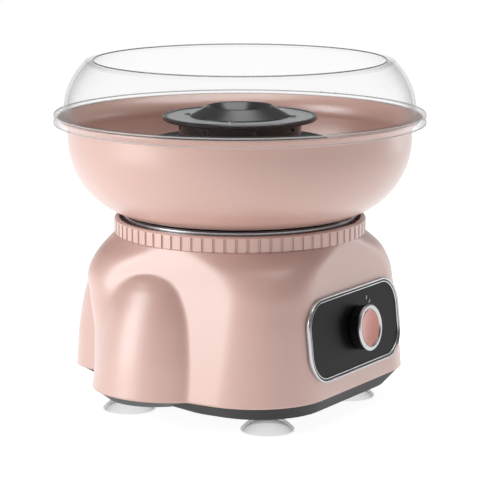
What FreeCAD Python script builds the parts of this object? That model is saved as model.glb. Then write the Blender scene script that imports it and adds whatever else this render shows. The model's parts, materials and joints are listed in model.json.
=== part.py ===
import FreeCAD, Part
import math
import os
import Sketcher

os.makedirs("parts", exist_ok=True)
doc = FreeCAD.newDocument("floss_maker")
sheet = doc.addObject("Spreadsheet::Sheet", "Params")

# Every length is in millimetres, heights are above the ground, radii are from the spin axis.
SIZES = {
    # base shell: front, rear and side reach, and corner radius, from the foot up to the deck
    "shell_z0": 26.0, "shell_front0": 104.0, "shell_side0": 112.0, "shell_back0": 76.0, "shell_corner0": 58.0,
    "shell_z1": 60.0, "shell_front1": 101.0, "shell_side1": 107.0, "shell_back1": 84.0, "shell_corner1": 52.0,
    "shell_z2": 90.0, "shell_front2": 97.5, "shell_side2": 102.0, "shell_back2": 91.0, "shell_corner2": 47.0,
    "shell_z3": 110.0, "shell_front3": 95.3, "shell_side3": 98.5, "shell_back3": 95.0, "shell_corner3": 48.0,
    "shell_z4": 122.0, "shell_front4": 94.4, "shell_side4": 96.8, "shell_back4": 94.2, "shell_corner4": 61.0,
    "shell_z5": 134.8, "shell_front5": 93.8, "shell_side5": 94.2, "shell_back5": 93.8, "shell_corner5": 91.0,
    "shell_wall": 3.0, "deck_wall": 3.4,
    # rear lobe of the shell
    "tail_z0": 26.0, "tail_back0": 128.0, "tail_half0": 62.0, "tail_corner0": 38.0,
    "tail_z1": 60.0, "tail_back1": 125.5, "tail_half1": 61.0, "tail_corner1": 38.0,
    "tail_z2": 88.0, "tail_back2": 119.0, "tail_half2": 59.0, "tail_corner2": 38.0,
    "tail_z3": 106.0, "tail_back3": 109.0, "tail_half3": 56.0, "tail_corner3": 36.0,
    "tail_z4": 118.0, "tail_back4": 95.0, "tail_half4": 48.0, "tail_corner4": 34.0,
    "tail_z5": 123.0, "tail_back5": 82.0, "tail_half5": 38.0, "tail_corner5": 30.0,
    "tail_front": 10.0,
    # thumb-shaped side lobes
    "lobe_x": 68.0, "lobe_y": 18.0,
    "lobe_r0": 60.0, "lobe_z1": 62.0, "lobe_r1": 54.6, "lobe_z2": 96.0, "lobe_r2": 44.3,
    "lobe_z3": 114.0, "lobe_r3": 32.0, "lobe_top_z": 122.5,
    # bottom pan
    "pan_z": 14.5, "pan_floor": 3.0, "pan_wall": 2.4, "pan_front": 95.0, "pan_side": 96.0,
    "pan_corner": 50.0, "pan_back": 20.0, "pan_tail": 112.0, "pan_tail_half": 46.0,
    "pan_lobe_r": 38.0, "pan_lobe_x": 64.0, "pan_lobe_y": 34.0, "pan_step": 0.5,
    # suction feet
    "foot_x": 61.5, "foot_y": 61.5, "foot_r": 20.0, "foot_lip": 1.2, "foot_neck_r": 5.0,
    "foot_stem_r": 4.0, "foot_bead_r": 6.0, "foot_cup_z": 11.0,
    # collar, seat and bowl
    "collar_r": 95.8, "collar_in_r": 92.2, "collar_top": 146.6, "collar_flange_r": 80.0,
    "collar_flange": 3.0, "flute_count": 72.0, "flute_depth": 1.3, "flute_width": 2.4,
    "seat_r": 87.6, "seat_in_r": 78.0, "seat_wall": 2.6, "seat_top": 150.4, "trim_r": 88.8, "trim_z": 143.0,
    "trim_top": 148.6, "key_width": 9.0, "key_depth": 3.4,
    "bowl_bottom": 150.7, "bowl_wall": 2.4, "bowl_neck_r": 70.4, "bowl_neck_top": 200.5,
    "bowl_foot_r": 90.0, "bowl_belly_r": 130.2, "bowl_belly_z": 207.0, "bowl_mid_r": 118.6,
    "bowl_mid_z": 171.6, "bowl_shoulder_z": 216.0, "bowl_rim_r": 137.6, "bowl_rim_z": 222.9,
    # splash guard
    "guard_r": 141.0, "guard_skirt_z": 218.4, "guard_flange_z": 225.4, "guard_wall": 2.4,
    "guard_foot_r": 132.8, "guard_mid_r": 128.4, "guard_mid_z": 249.0, "guard_top_r": 117.0,
    "guard_top_z": 264.8, "guard_hole_r": 110.7, "guard_lip": 2.0,
    # heater tower
    "tower_r": 69.4, "tower_wall": 2.4, "tower_flange_r": 79.5, "tower_top": 204.0,
    "tower_hole_r": 58.4, "tower_in_z": 202.0, "tower_rib_z": 170.0,
    # head
    "head_disc_r": 58.6, "head_disc_in_r": 55.6, "head_top": 223.3, "head_disc_z": 220.1,
    "head_dome_r": 38.0, "head_rim_r": 24.8, "head_rim_z": 230.5, "head_cup_r": 46.5,
    "head_floor_z": 208.4, "head_wall": 1.4, "head_throat_r": 9.5, "head_throat_z": 214.0,
    "hub_r": 7.0, "hub_bore_r": 4.05, "hub_bottom": 204.0, "hub_top": 213.0,
    # drive
    "drive_r": 4.0, "drive_tip": 212.0, "drive_shoulder_r": 6.6, "drive_shoulder_z": 200.0,
    "drive_socket_r": 6.0, "drive_socket_z": 166.0, "pin_r": 1.2, "pin_z": 205.4, "pin_half": 6.4,
    # motor
    "motor_r": 18.0, "motor_z": 98.0, "motor_top": 155.0, "motor_wall": 1.2, "motor_cap_z": 90.0,
    "shaft_r": 2.5, "shaft_top": 178.0, "core_r": 11.2, "core_z": 110.0, "core_top": 140.0,
    "bracket_z": 155.0, "bracket_gauge": 1.6, "bracket_r": 30.0, "bracket_foot_r": 56.0,
    "fan_z": 160.0, "fan_r": 25.0, "fan_height": 5.0,
    # heater
    "dish_r": 58.0, "dish_z": 188.0, "dish_gauge": 1.0, "coil_r": 40.0, "coil_wire_r": 3.2, "coil_z": 197.0,
    # control panel, leaning back with the front face
    "panel_lean": 6.0, "panel_z": 69.0, "panel_reach": 99.8, "panel_half": 68.4, "panel_half_height": 31.2,
    "panel_corner": 22.5, "panel_sink": 2.4, "panel_rise": 2.6, "bezel_width": 3.6, "plate_rise": 1.2,
    "knob_x": 7.0, "knob_up": 0.0, "knob_r": 17.4, "knob_height": 9.5, "knob_cap_r": 13.9,
}
for row, (alias, value) in enumerate(SIZES.items(), start=1):
    sheet.set("A%d" % row, alias)
    sheet.set("B%d" % row, str(value))
    sheet.setAlias("B%d" % row, alias)
doc.recompute()


class Dim:
    """A length that keeps its number together with the sheet formula behind it."""

    def __init__(self, value, text):
        self.value = value
        self.text = text

    def join(self, other, sign, value):
        tail = other.text if isinstance(other, Dim) else repr(float(other))
        return Dim(value, "(%s %s %s)" % (self.text, sign, tail))

    def __add__(self, other):
        return self.join(other, "+", self.value + number(other))

    def __sub__(self, other):
        return self.join(other, "-", self.value - number(other))

    def __mul__(self, other):
        return self.join(other, "*", self.value * number(other))

    def __rsub__(self, other):
        return Dim(number(other) - self.value, "(%s - %s)" % (repr(float(other)), self.text))

    def __neg__(self):
        return Dim(-self.value, "(0 - %s)" % self.text)


def number(length):
    return length.value if isinstance(length, Dim) else float(length)


def size(alias):
    return Dim(SIZES[alias], "Params." + alias)


def new_body(label):
    body = doc.addObject("PartDesign::Body", label)
    body.Label = label
    if hasattr(body, "AllowCompound"):
        body.AllowCompound = True
    return body


def plane_of(body, role):
    for feature in body.Origin.OriginFeatures:
        if feature.Role == role:
            return feature
    raise ValueError(role)


def new_sketch(body, role, offset=(0, 0, 0), turn=0.0, axis=(0, 0, 1)):
    """A sketch on one origin plane of its body, shifted in the plane's own directions."""
    sketch = body.newObject("Sketcher::SketchObject", "outline")
    sketch.AttachmentSupport = [(plane_of(body, role), "")]
    sketch.MapMode = "FlatFace"
    base = FreeCAD.Vector(*[number(part) for part in offset])
    sketch.AttachmentOffset = FreeCAD.Placement(base, FreeCAD.Rotation(FreeCAD.Vector(*axis), turn))
    for letter, part in zip("xyz", offset):
        if isinstance(part, Dim):
            sketch.setExpression("AttachmentOffset.Base." + letter, part.text)
    return sketch


def fix_point(sketch, index, end, x, y):
    """Ties one end point to the sketch axes with lengths from the sheet."""
    for kind, length, axis in (("DistanceX", x, -2), ("DistanceY", y, -1)):
        amount = number(length)
        if abs(amount) < 1e-9:
            sketch.addConstraint(Sketcher.Constraint("PointOnObject", index, end, axis))
            continue
        if amount > 0:
            rule = Sketcher.Constraint(kind, -1, 1, index, end, amount)
        else:
            rule = Sketcher.Constraint(kind, index, end, -1, 1, -amount)
        place = sketch.addConstraint(rule)
        if isinstance(length, Dim):
            text = length.text if amount > 0 else "-1 * " + length.text
            sketch.setExpression("Constraints[%d]" % place, text)


def outline(sketch, path):
    """Closed outline. A two-item entry is a straight run's end; a pair of points is an arc."""
    ends = [item[-1] if isinstance(item[0], tuple) else item for item in path]
    start = sketch.GeometryCount
    for index, item in enumerate(path):
        first = FreeCAD.Vector(number(ends[index - 1][0]), number(ends[index - 1][1]), 0)
        last = FreeCAD.Vector(number(ends[index][0]), number(ends[index][1]), 0)
        if isinstance(item[0], tuple):
            middle = FreeCAD.Vector(number(item[0][0]), number(item[0][1]), 0)
            arc = Part.Arc(first, middle, last)
            sketch.addGeometry(arc, False)
        else:
            sketch.addGeometry(Part.LineSegment(first, last), False)
    flipped = {}
    for index, item in enumerate(path):
        first = FreeCAD.Vector(number(ends[index - 1][0]), number(ends[index - 1][1]), 0)
        begins = sketch.getPoint(start + index, 1)
        flipped[index] = first.distanceToPoint(begins) > 1e-4
    for index, item in enumerate(path):
        tail = 1 if flipped[index] else 2
        ahead = (index + 1) % len(path)
        head = 2 if flipped[ahead] else 1
        sketch.addConstraint(Sketcher.Constraint("Coincident", start + index, tail, start + ahead, head))
        fix_point(sketch, start + index, tail, ends[index][0], ends[index][1])
        if isinstance(item[0], tuple):
            radius = sketch.Geometry[start + index].Radius
            sketch.addConstraint(Sketcher.Constraint("Radius", start + index, radius))
    return sketch


def ring_line(sketch, x, y, radius):
    """A full circle at a point of the sketch."""
    centre = FreeCAD.Vector(number(x), number(y), 0)
    index = sketch.addGeometry(Part.Circle(centre, FreeCAD.Vector(0, 0, 1), number(radius)), False)
    fix_point(sketch, index, 3, x, y)
    place = sketch.addConstraint(Sketcher.Constraint("Radius", index, number(radius)))
    if isinstance(radius, Dim):
        sketch.setExpression("Constraints[%d]" % place, radius.text)
    return sketch


def soft_box(sketch, left, right, low, high, corner):
    """A rectangle with four equal round corners."""
    x0, x1, y0, y1, radius = [number(part) for part in (left, right, low, high, corner)]
    spots = [
        ((x0 + radius, y0), (x1 - radius, y0)), ((x1, y0 + radius), (x1, y1 - radius)),
        ((x1 - radius, y1), (x0 + radius, y1)), ((x0, y1 - radius), (x0, y0 + radius)),
    ]
    centres = [(x1 - radius, y0 + radius, -90), (x1 - radius, y1 - radius, 0),
               (x0 + radius, y1 - radius, 90), (x0 + radius, y0 + radius, 180)]
    up = FreeCAD.Vector(0, 0, 1)
    base = sketch.GeometryCount
    for (first, last), (cx, cy, angle) in zip(spots, centres):
        sketch.addGeometry(Part.LineSegment(FreeCAD.Vector(*first, 0), FreeCAD.Vector(*last, 0)), False)
        circle = Part.Circle(FreeCAD.Vector(cx, cy, 0), up, radius)
        turn = math.radians(angle)
        sketch.addGeometry(Part.ArcOfCircle(circle, turn, turn + math.pi / 2), False)
    for step in range(4):
        line, arc = base + 2 * step, base + 2 * step + 1
        following = base + (2 * step + 2) % 8
        sketch.addConstraint(Sketcher.Constraint("Tangent", line, 2, arc, 1))
        sketch.addConstraint(Sketcher.Constraint("Tangent", arc, 2, following, 1))
        kind = "Horizontal" if step % 2 == 0 else "Vertical"
        sketch.addConstraint(Sketcher.Constraint(kind, line))
        if step:
            sketch.addConstraint(Sketcher.Constraint("Equal", base + 1, arc))
    place = sketch.addConstraint(Sketcher.Constraint("Radius", base + 1, radius))
    if isinstance(corner, Dim):
        sketch.setExpression("Constraints[%d]" % place, corner.text)
    for index, kind, length in ((base, "DistanceY", low), (base + 2, "DistanceX", right),
                                (base + 4, "DistanceY", high), (base + 6, "DistanceX", left)):
        amount = number(length)
        if amount > 0:
            rule = Sketcher.Constraint(kind, -1, 1, index, 1, amount)
        else:
            rule = Sketcher.Constraint(kind, index, 1, -1, 1, -amount)
        place = sketch.addConstraint(rule)
        if isinstance(length, Dim):
            text = length.text if amount > 0 else "-1 * " + length.text
            sketch.setExpression("Constraints[%d]" % place, text)
    return sketch


def bind(feature, name, length):
    setattr(feature, name, number(length))
    if isinstance(length, Dim):
        feature.setExpression(name, length.text)


def pad(body, sketch, length, reverse=False, both=False):
    feature = body.newObject("PartDesign::Pad", "raise")
    feature.Profile = sketch
    bind(feature, "Length", length)
    feature.Reversed = reverse
    feature.Midplane = both
    doc.recompute()
    return feature


def pocket(body, sketch, length, reverse=False, both=False):
    feature = body.newObject("PartDesign::Pocket", "cut")
    feature.Profile = sketch
    bind(feature, "Length", length)
    feature.Reversed = reverse
    feature.Midplane = both
    doc.recompute()
    return feature


def turned(body, sketch, cut=False, angle=360.0):
    kind = "PartDesign::Groove" if cut else "PartDesign::Revolution"
    feature = body.newObject(kind, "turn")
    feature.Profile = sketch
    feature.ReferenceAxis = (sketch, ["V_Axis"])
    feature.Angle = angle
    doc.recompute()
    return feature


def loft(body, sketches, cut=False):
    kind = "PartDesign::SubtractiveLoft" if cut else "PartDesign::AdditiveLoft"
    feature = body.newObject(kind, "loft")
    feature.Profile = sketches[0]
    feature.Sections = sketches[1:]
    doc.recompute()
    return feature


def polar(body, features, count):
    pattern = body.newObject("PartDesign::PolarPattern", "around")
    pattern.Originals = features
    pattern.Axis = (plane_of(body, "Z_Axis"), [""])
    pattern.Angle = 360
    pattern.Occurrences = count
    body.Tip = pattern
    doc.recompute()
    return pattern


def round_part(label, path):
    """A part turned about the spin axis from a half outline of radius and height."""
    body = new_body(label)
    turned(body, outline(new_sketch(body, "XZ_Plane"), path))
    return body


# ---- base shell ----
def shell_section(body, index, inset):
    """One level of the rounded-square main form, moved in by the wall when it is the inner one."""
    name = str(index)
    side = size("shell_side" + name) - inset
    rise = size("shell_z" + name)
    if index == 5 and inset:
        rise = rise - size("deck_wall")
    sketch = new_sketch(body, "XY_Plane", (0, 0, rise))
    front = size("shell_front" + name) - inset
    back = size("shell_back" + name) - inset
    return soft_box(sketch, -side, side, -front, back, size("shell_corner" + name) - inset)


def tail_section(body, index, inset):
    """One level of the rear lobe."""
    name = str(index)
    half = size("tail_half" + name) - inset
    drop = inset if index > 2 else 0
    sketch = new_sketch(body, "XY_Plane", (0, 0, size("tail_z" + name) - drop))
    back = size("tail_back" + name) - inset
    return soft_box(sketch, -half, half, size("tail_front"), back, size("tail_corner" + name) - inset)


def lobe_outline(body, side, inset):
    """Half outline of one thumb-shaped lobe about its own upright axis."""
    sketch = new_sketch(body, "XZ_Plane", (size("lobe_x") * side, 0, -size("lobe_y")))
    gap = number(inset)
    flank = (SIZES["lobe_r1"] - gap, SIZES["lobe_z1"])
    crown = (SIZES["lobe_r3"] - gap, SIZES["lobe_z3"] - gap * 0.5)
    return outline(sketch, [
        (0, size("shell_z0")),
        (size("lobe_r0") - inset, size("shell_z0")),
        (flank, (size("lobe_r2") - inset, size("lobe_z2"))),
        (crown, (0, size("lobe_top_z") - inset)),
    ])


wall = size("shell_wall")
shell = new_body("base_shell")
loft(shell, [shell_section(shell, index, 0) for index in range(6)])
loft(shell, [tail_section(shell, index, 0) for index in range(6)])
for side in (-1, 1):
    turned(shell, lobe_outline(shell, side, 0))
loft(shell, [shell_section(shell, index, wall) for index in range(6)], cut=True)
loft(shell, [tail_section(shell, index, wall) for index in range(6)], cut=True)
for side in (-1, 1):
    turned(shell, lobe_outline(shell, side, wall), cut=True)

# Inner plate that stiffens the front face behind the panel.
def face_sketch(body, out):
    """A sketch on the leaning front face, moved out along its normal."""
    lean = math.radians(SIZES["panel_lean"])
    offset = (0, size("panel_z") + out * math.sin(lean), size("panel_reach") + out * math.cos(lean))
    return new_sketch(body, "XZ_Plane", offset, -SIZES["panel_lean"], (1, 0, 0))


def face_box(sketch, inset):
    half = size("panel_half") - inset
    tall = size("panel_half_height") - inset
    return soft_box(sketch, -half, half, -tall, tall, size("panel_corner") - inset)


backing = 2.4
recess_gap = 0.15
recess_over = 6.0
through = 14.0
switch_hole_r = 5.2
screw_hole_r = 1.6
face_spots = [(across, up) for across in (-52.0, 52.0) for up in (-20.0, 20.0)]
pad(shell, face_box(face_sketch(shell, -size("panel_sink")), 2.5), backing, reverse=True)
pocket(shell, face_box(face_sketch(shell, recess_over), -recess_gap), size("panel_sink") + recess_over)
panel_holes = face_sketch(shell, 2.0)
ring_line(panel_holes, size("knob_x"), size("knob_up"), switch_hole_r)
for across, up in face_spots:
    ring_line(panel_holes, across, up, screw_hole_r)
pocket(shell, panel_holes, through)

# Deck opening for the motor, and screw holes through the deck.
def circle_spots(count, radius, lead=0.0):
    """Evenly spaced points on a circle about the spin axis."""
    turns = [math.radians(lead + 360.0 * index / count) for index in range(count)]
    return [(radius * math.cos(turn), radius * math.sin(turn)) for turn in turns]


deck_hole_r = 46.0
stud_r = 2.0
foot_spots = circle_spots(3, 52.0, 90.0)
tower_spots = circle_spots(4, 74.0)
collar_spots = circle_spots(4, 85.0, 45.0)
deck_top = size("shell_z5")
deck_holes = new_sketch(shell, "XY_Plane", (0, 0, deck_top + 1.0))
ring_line(deck_holes, 0, 0, deck_hole_r)
for spots, radius in ((foot_spots, stud_r), (tower_spots, screw_hole_r), (collar_spots, screw_hole_r)):
    for x, y in spots:
        ring_line(deck_holes, x, y, radius)
pocket(shell, deck_holes, 12.0)

# Four tall posts from the deck down to the bottom pan.
post_foot_z = 20.5
post_r = 4.6
pilot_r = 1.5
post_spots = circle_spots(4, 80.0, 20.0)
posts = new_sketch(shell, "XY_Plane", (0, 0, post_foot_z))
pilots = new_sketch(shell, "XY_Plane", (0, 0, post_foot_z))
for x, y in post_spots:
    ring_line(posts, x, y, post_r)
    ring_line(pilots, x, y, pilot_r)
pad(shell, posts, deck_top - size("deck_wall") - post_foot_z + 0.4)
pocket(shell, pilots, 20.0, reverse=True)

# Cord opening with a flat seat, and louvres above it.
gland_z = 44.0
gland_seat_y = 125.6
behind = 140.0


def back_sketch(body):
    """A sketch on an upright plane just behind the rear lobe."""
    return new_sketch(body, "XZ_Plane", (0, 0, -behind))


pocket(shell, ring_line(back_sketch(shell), 0, gland_z, 9.4), behind - gland_seat_y, reverse=True)
pocket(shell, ring_line(back_sketch(shell), 0, gland_z, 6.0), 20.0, reverse=True)
louvres = back_sketch(shell)
louvre_pitch, louvre_half = 9.0, 1.6
for index in range(-3, 4):
    middle = index * louvre_pitch
    soft_box(louvres, middle - louvre_half, middle + louvre_half, 60.0, 84.0, 1.5)
pocket(shell, louvres, 34.0, reverse=True)

# ---- bottom pan ----
def pan_sections(body, inset, floor):
    """Upper and lower outline of the pan under the main form."""
    high = new_sketch(body, "XY_Plane", (0, 0, size("shell_z0")))
    gap = size("pan_step") + inset
    side, corner = size("shell_side0") - gap, size("shell_corner0") - gap
    soft_box(high, -side, side, gap - size("shell_front0"), size("shell_back0") - gap, corner)
    low = new_sketch(body, "XY_Plane", (0, 0, size("pan_z") + floor))
    side, corner = size("pan_side") - inset, size("pan_corner") - inset
    soft_box(low, -side, side, inset - size("pan_front"), size("pan_back") - inset, corner)
    return [high, low]


def pan_tail(body, inset, floor):
    """Upper and lower outline of the pan under the rear lobe."""
    high = new_sketch(body, "XY_Plane", (0, 0, size("shell_z0")))
    gap = size("pan_step") + inset
    half = size("tail_half0") - gap
    soft_box(high, -half, half, size("tail_front"), size("tail_back0") - gap, size("tail_corner0") - gap)
    low = new_sketch(body, "XY_Plane", (0, 0, size("pan_z") + floor))
    half = size("pan_tail_half") - inset
    soft_box(low, -half, half, size("tail_front"), size("pan_tail") - inset, 34.0)
    return [high, low]


def pan_lobe(body, side, inset, floor):
    """Upper and lower circle of the pan under one side lobe."""
    high = new_sketch(body, "XY_Plane", (0, 0, size("shell_z0")))
    ring_line(high, size("lobe_x") * side, size("lobe_y"), size("lobe_r0") - size("pan_step") - inset)
    low = new_sketch(body, "XY_Plane", (0, 0, size("pan_z") + floor))
    ring_line(low, size("pan_lobe_x") * side, size("pan_lobe_y"), size("pan_lobe_r") - inset)
    return [high, low]


pan = new_body("bottom_pan")
loft(pan, pan_sections(pan, 0, 0))
loft(pan, pan_tail(pan, 0, 0))
for side in (-1, 1):
    loft(pan, pan_lobe(pan, side, 0, 0))
thick = size("pan_wall")
loft(pan, pan_sections(pan, thick, size("pan_floor")), cut=True)
loft(pan, pan_tail(pan, thick, size("pan_floor")), cut=True)
for side in (-1, 1):
    loft(pan, pan_lobe(pan, side, thick, size("pan_floor")), cut=True)
floor_top = size("pan_z") + size("pan_floor")
bosses = new_sketch(pan, "XY_Plane", (0, 0, floor_top - 0.4))
for x, y in post_spots:
    ring_line(bosses, x, y, 5.6)
pad(pan, bosses, post_foot_z + 0.4 - floor_top)
board_x, board_y0, board_y1 = 33.0, 8.0, 52.0
board_z = 24.0
pegs = new_sketch(pan, "XY_Plane", (0, 0, floor_top - 0.4))
pins = new_sketch(pan, "XY_Plane", (0, 0, floor_top - 0.4))
peg_spots = [(x, y) for x in (4 - board_x, board_x - 4) for y in (board_y0 + 4, board_y1 - 4)]
for x, y in peg_spots:
    ring_line(pegs, x, y, 3.2)
    ring_line(pins, x, y, 1.4)
pad(pan, pegs, board_z + 0.4 - floor_top)
pad(pan, pins, board_z + 3.0 - floor_top)
holes = new_sketch(pan, "XY_Plane", (0, 0, 0))
heads = new_sketch(pan, "XY_Plane", (0, 0, 0))
for x, y in post_spots:
    ring_line(holes, x, y, 1.8)
    ring_line(heads, x, y, 3.8)
for x in (-1, 1):
    for y in (-1, 1):
        ring_line(holes, size("foot_x") * x, size("foot_y") * y, size("foot_stem_r"))
pocket(pan, holes, 40.0, reverse=True)
screw_seat_z = 17.2
pocket(pan, heads, screw_seat_z, reverse=True)
vents = new_sketch(pan, "XY_Plane", (0, 0, 0))
vent_pitch, vent_half = 8.0, 1.5
for index in range(-4, 5):
    middle = index * vent_pitch
    soft_box(vents, middle - vent_half, middle + vent_half, -62.0, -22.0, 1.4)
pocket(pan, vents, 40.0, reverse=True)

# ---- suction feet ----
def suction_foot(label, x, y):
    stem, bead, neck = size("foot_stem_r"), size("foot_bead_r"), size("foot_neck_r")
    rim, cup_z = size("foot_r"), size("foot_cup_z")
    under, over = (number(rim) * 0.55, 5.6), (number(rim) * 0.58, 8.2)
    bead_top = floor_top + 3.4
    body = round_part(label, [
        (0, 7.5), (under, (rim - 1.4, 0)), (rim, 0), (rim, size("foot_lip")),
        (over, (neck + 1.5, cup_z)), (neck + 1.5, size("pan_z")), (stem, size("pan_z")),
        (stem, floor_top), (bead, floor_top), (bead - 2.2, bead_top), (0, bead_top),
    ])
    body.Placement = FreeCAD.Placement(FreeCAD.Vector(number(x), number(y), 0), FreeCAD.Rotation())
    body.setExpression("Placement.Base.x", x.text)
    body.setExpression("Placement.Base.y", y.text)
    return body


suction_foot("foot_front_left", -size("foot_x"), -size("foot_y"))
suction_foot("foot_front_right", size("foot_x"), -size("foot_y"))
suction_foot("foot_rear_left", -size("foot_x"), size("foot_y"))
suction_foot("foot_rear_right", size("foot_x"), size("foot_y"))


# ---- screws ----
def screws(label, spots, seat, head_r, head_height, shank_r, shank_length, up=True):
    """A set of equal screws: heads above the seat with shanks going down, or the other way up."""
    body = new_body(label)
    sign = 1 if up else -1
    head = new_sketch(body, "XY_Plane", (0, 0, seat))
    shank = new_sketch(body, "XY_Plane", (0, 0, seat))
    slot = new_sketch(body, "XY_Plane", (0, 0, seat + sign * head_height))
    for x, y in spots:
        ring_line(head, x, y, head_r)
        ring_line(shank, x, y, shank_r)
        ring_line(slot, x, y, head_r * 0.42)
    pad(body, head, head_height, reverse=not up)
    pad(body, shank, shank_length, reverse=up)
    pocket(body, slot, head_height * 0.5, reverse=not up)
    return body


seat_z = deck_top + size("collar_flange")
screw_head_r, screw_head_height = 2.9, 1.9
screws("bottom_screws", post_spots, screw_seat_z, 3.4, 2.2, pilot_r, 20.0, up=False)
deck_screws = screws("deck_screws", tower_spots, seat_z, screw_head_r, screw_head_height, screw_hole_r, 9.0)
collar_heads = new_sketch(deck_screws, "XY_Plane", (0, 0, deck_top - size("deck_wall")))
collar_shanks = new_sketch(deck_screws, "XY_Plane", (0, 0, deck_top - size("deck_wall")))
for x, y in collar_spots:
    ring_line(collar_heads, x, y, screw_head_r)
    ring_line(collar_shanks, x, y, screw_hole_r)
pad(deck_screws, collar_heads, screw_head_height, reverse=True)
pad(deck_screws, collar_shanks, 6.0)

# ---- collar ring with flutes ----
collar_r, collar_top = size("collar_r"), size("collar_top")
collar = round_part("collar_ring", [
    (size("collar_flange_r"), deck_top), (collar_r - 0.6, deck_top), (collar_r, deck_top + 0.6),
    (collar_r, collar_top - 1.2), (collar_r - 1.2, collar_top), (size("collar_in_r"), collar_top),
    (size("collar_in_r"), seat_z), (size("collar_flange_r"), seat_z),
])
flute = new_sketch(collar, "XY_Plane", (0, 0, deck_top))
flute_half = size("flute_width") * 0.5
soft_box(flute, collar_r - size("flute_depth"), collar_r + 2.0, -flute_half, flute_half, 0.8)
flute_cut = pocket(collar, flute, collar_top - deck_top - 1.6, reverse=True)
polar(collar, [flute_cut], int(SIZES["flute_count"]))
collar_pilots = new_sketch(collar, "XY_Plane", (0, 0, deck_top))
for x, y in collar_spots:
    ring_line(collar_pilots, x, y, screw_hole_r)
pocket(collar, collar_pilots, 2.6, reverse=True)

# ---- glossy seat ring and its bright trim ----
seat_r, seat_in_r, seat_top = size("seat_r"), size("seat_in_r"), size("seat_top")
seat_wall = size("seat_wall")
seat = round_part("seat_ring", [
    (seat_in_r, seat_z), (seat_in_r + seat_wall, seat_z), (seat_in_r + seat_wall, seat_top - seat_wall),
    (seat_r - seat_wall, seat_top - seat_wall), (seat_r - seat_wall, seat_z), (seat_r, seat_z),
    (seat_r, seat_top - 1.4), (seat_r - 1.4, seat_top),
    (seat_in_r + 0.8, seat_top), (seat_in_r, seat_top - 0.8),
])
key_in, key_out, key_gap = 81.2, 84.4, 0.3
key_half = size("key_width") * 0.5
notch = new_sketch(seat, "XY_Plane", (0, 0, seat_top))
notch_half = key_half + key_gap
soft_box(notch, key_in - 0.4, key_out + 0.4, -notch_half, notch_half, 0.8)
polar(seat, [pocket(seat, notch, seat_wall + 0.4)], 3)
round_part("seat_trim_ring", [
    (size("seat_r"), size("trim_z")), (size("trim_r"), size("trim_z")),
    (size("trim_r"), size("trim_top") - 0.5), (size("trim_r") - 0.5, size("trim_top")),
    (size("seat_r"), size("trim_top")),
])

# ---- heater tower ----
tower_r, tower_top, tower_in_z = size("tower_r"), size("tower_top"), size("tower_in_z")
inner = tower_r - size("tower_wall")
tower = round_part("heater_housing", [
    (inner, deck_top), (size("tower_flange_r"), deck_top),
    (size("tower_flange_r"), seat_z), (tower_r, seat_z),
    (tower_r, tower_top - 0.8), (tower_r - 0.8, tower_top),
    (size("tower_hole_r"), tower_in_z), (size("tower_hole_r"), tower_in_z - 2.4),
    (inner - 1.0, tower_top - 3.6), (inner, tower_top - 5.0),
])
lug = new_sketch(tower, "XY_Plane", (0, 0, size("tower_rib_z")))
soft_box(lug, 61.0, inner + 0.6, -5.0, 5.0, 1.5)
shield_z = 177.0
polar(tower, [pad(tower, lug, shield_z - size("tower_rib_z"))], 3)
tower_holes = new_sketch(tower, "XY_Plane", (0, 0, deck_top))
for x, y in tower_spots:
    ring_line(tower_holes, x, y, screw_hole_r)
pocket(tower, tower_holes, 6.0, reverse=True)

# ---- bowl ----
bottom = size("bowl_bottom")
gauge = size("bowl_wall")
belly_r, belly_z, shoulder_z = size("bowl_belly_r"), size("bowl_belly_z"), size("bowl_shoulder_z")
bowl_rim_r, bowl_rim_z = size("bowl_rim_r"), size("bowl_rim_z")
neck_r, neck_top = size("bowl_neck_r"), size("bowl_neck_top")
side_out = (SIZES["bowl_mid_r"], SIZES["bowl_mid_z"])
side_in = (SIZES["bowl_mid_r"] - 1.8, SIZES["bowl_mid_z"] + 1.8)
shoulder_in = (SIZES["bowl_belly_r"] - 1.3, SIZES["bowl_shoulder_z"])
bowl = round_part("bowl", [
    (neck_r, bottom), (size("bowl_foot_r"), bottom),
    (side_out, (belly_r, belly_z)), (belly_r + 0.3, shoulder_z),
    (bowl_rim_r - 0.8, bowl_rim_z - 1.8), (bowl_rim_r, bowl_rim_z - 1.0), (bowl_rim_r, bowl_rim_z),
    (bowl_rim_r - 2.2, bowl_rim_z), (shoulder_in, (belly_r - gauge, belly_z)),
    (side_in, (size("bowl_foot_r") - 0.6, bottom + gauge)),
    (neck_r + gauge + 1.4, bottom + gauge), (neck_r + gauge, bottom + gauge + 1.4),
    (neck_r + gauge - 0.6, neck_top - 0.8), (neck_r + gauge - 1.4, neck_top), (neck_r, neck_top),
])
tab = new_sketch(bowl, "XY_Plane", (0, 0, bottom + 0.4))
soft_box(tab, key_in, key_out, -key_half, key_half, 0.8)
polar(bowl, [pad(bowl, tab, size("key_depth") + 0.4, reverse=True)], 3)

# ---- clear splash guard ----
guard_r, skirt_z, flange_z = size("guard_r"), size("guard_skirt_z"), size("guard_flange_z")
skirt_in_r, guard_foot_r = guard_r - size("guard_wall"), size("guard_foot_r")
top_r, top_z, mouth_r = size("guard_top_r"), size("guard_top_z"), size("guard_hole_r")
wall_out = (SIZES["guard_mid_r"], SIZES["guard_mid_z"])
wall_in = (SIZES["guard_mid_r"] - 2.1, SIZES["guard_mid_z"] - 1.0)
rest_z = bowl_rim_z + 0.3
guard = round_part("splash_guard", [
    (skirt_in_r, skirt_z), (guard_r, skirt_z), (guard_r, flange_z - 0.9), (guard_r - 0.9, flange_z),
    (guard_foot_r + 0.7, flange_z + 0.2), (wall_out, (top_r, top_z)),
    (mouth_r + 0.6, top_z + 1.2), (mouth_r, top_z + 0.6), (mouth_r, top_z - 0.8),
    (top_r - 1.2, top_z - size("guard_lip")), (wall_in, (guard_foot_r - 1.7, flange_z)),
    (guard_foot_r - 1.7, rest_z), (skirt_in_r, rest_z),
])
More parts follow.
